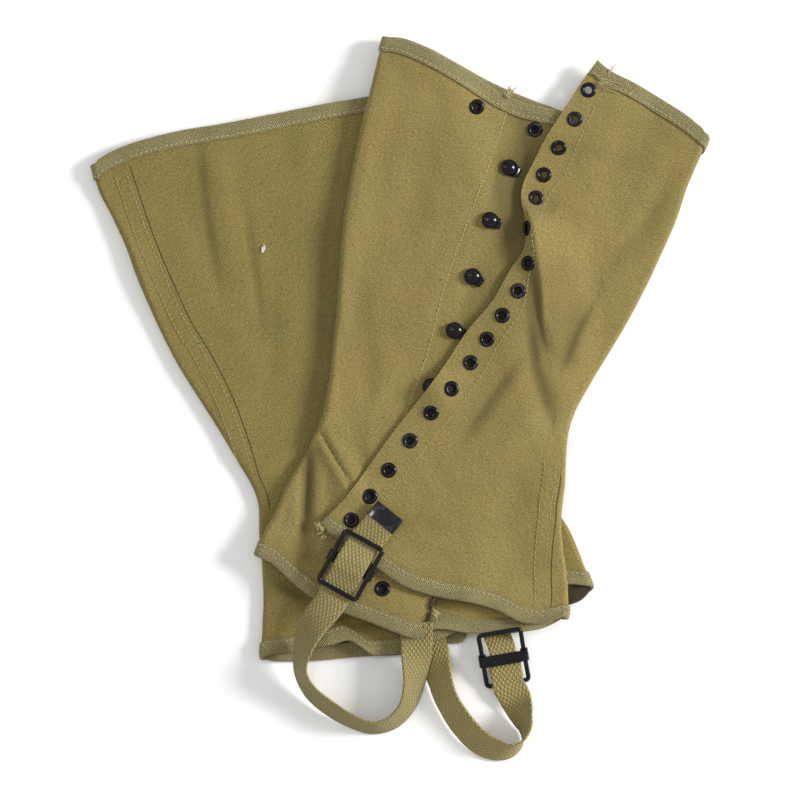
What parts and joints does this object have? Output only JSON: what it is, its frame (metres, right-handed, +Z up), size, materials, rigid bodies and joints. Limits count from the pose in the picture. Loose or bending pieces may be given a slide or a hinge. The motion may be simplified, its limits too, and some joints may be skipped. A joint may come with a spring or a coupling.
{
  "type": "canvas gaiters",
  "caption": "Pair of knee-high canvas gaiters lying flat and crossed, with hook-and-eyelet lacing flap, taped edges and a buckled webbing instep strap on each.",
  "frame": {"origin": "middle of the pair's outline in the plan, at the surface it lies on", "axes": "+Y towards the rims of the crossing gaiters, +X to the right in the picture, +Z up from the surface"},
  "size_m": [0.3928, 0.4596, 0.0284],
  "materials": {
    "canvas": "faded khaki cotton duck",
    "tape": "herringbone cotton tape",
    "webbing": "coarse woven cotton webbing",
    "black_metal": "glossy black enamel"
  },
  "bodies": {
    "root": {"a_eyelet_panel": "canvas", "a_hook_panel": "canvas", "a_hook_facing": "canvas", "b_outer_panel": "canvas", "b_inner_panel": "canvas", "a_eyelet_hem_tape": "tape", "a_eyelet_rim_tape": "tape", "a_hook_hem_tape": "tape", "a_hook_rim_tape": "tape", "a_facing_hem_tape": "tape", "a_facing_rim_tape": "tape", "b_outer_hem_tape": "tape", "b_outer_rim_tape": "tape", "b_inner_hem_tape": "tape", "b_inner_rim_tape": "tape", "a_flap_eyelet_01": "black_metal", "a_flap_eyelet_02": "black_metal", "a_flap_eyelet_03": "black_metal", "a_flap_eyelet_04": "black_metal", "a_flap_eyelet_05": "black_metal", "a_flap_eyelet_06": "black_metal", "a_flap_eyelet_07": "black_metal", "a_flap_eyelet_08": "black_metal", "a_flap_eyelet_09": "black_metal", "a_flap_eyelet_10": "black_metal", "a_flap_eyelet_11": "black_metal", "a_flap_eyelet_12": "black_metal", "a_flap_eyelet_13": "black_metal", "a_flap_eyelet_14": "black_metal", "a_flap_eyelet_15": "black_metal", "a_flap_eyelet_16": "black_metal", "a_flap_eyelet_17": "black_metal", "a_front_eyelet_1": "black_metal", "a_front_eyelet_2": "black_metal", "a_front_eyelet_3": "black_metal", "a_hook_1": "black_metal", "a_hook_2": "black_metal", "a_hook_3": "black_metal", "a_hook_4": "black_metal", "a_hook_5": "black_metal", "a_strap": "webbing", "b_strap": "webbing", "a_chape": "webbing", "b_chape": "webbing", "a_strap_tip": "black_metal", "a_buckle_frame": "black_metal", "a_buckle_plate": "black_metal", "b_buckle_frame": "black_metal", "b_buckle_plate": "black_metal"}
  },
  "joints": []
}
